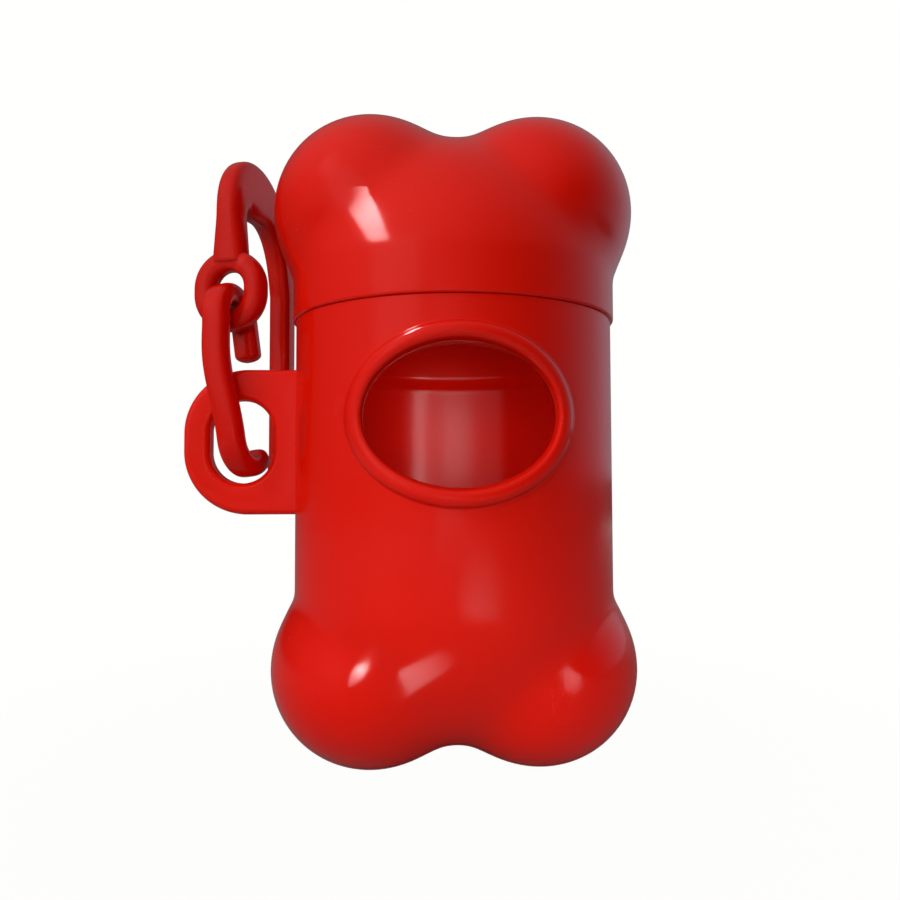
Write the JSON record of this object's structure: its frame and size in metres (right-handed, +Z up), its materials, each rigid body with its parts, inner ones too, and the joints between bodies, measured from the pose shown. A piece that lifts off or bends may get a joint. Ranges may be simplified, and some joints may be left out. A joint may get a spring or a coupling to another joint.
{
  "type": "dog poop bag dispenser",
  "caption": "Hollow bone-shaped plastic dispenser with a pull-off cap, a rimmed oval window, a side ear, a split link and an open hook.",
  "frame": {"origin": "under the middle of the whole object, in the plane of the small flats under the two lower lobes", "axes": "+Z up along the bone to its cap, -Y is the front with the window, -X is the side with the ear"},
  "size_m": [0.0601, 0.0437, 0.085],
  "materials": {
    "red_plastic": "glossy moulded plastic",
    "red_plastic_cap": "glossy moulded plastic",
    "red_plastic_link": "glossy moulded plastic",
    "red_plastic_hook": "glossy moulded plastic"
  },
  "bodies": {
    "dispenser": {"body_shell": "red_plastic"},
    "cap": {"cap_shell": "red_plastic_cap"},
    "link": {"split_link": "red_plastic_link"},
    "clip": {"hook": "red_plastic_hook"}
  },
  "joints": [
    {"name": "cap_pull", "type": "slide", "parent": "dispenser", "child": "cap", "axis": [0, 0, 1], "range_m": [0, 0.03]},
    {"name": "link_swing", "type": "hinge", "parent": "dispenser", "child": "link", "pos_m": [-0.02175, 0.00028, 0.0394], "axis": [0, -1, 0], "range_deg": [-4, 150]},
    {"name": "hook_tilt", "type": "hinge", "parent": "link", "child": "clip", "pos_m": [-0.02424, 0.00028, 0.05834], "axis": [0.9613, -0.2756, 0], "range_deg": [-8, 80]}
  ]
}
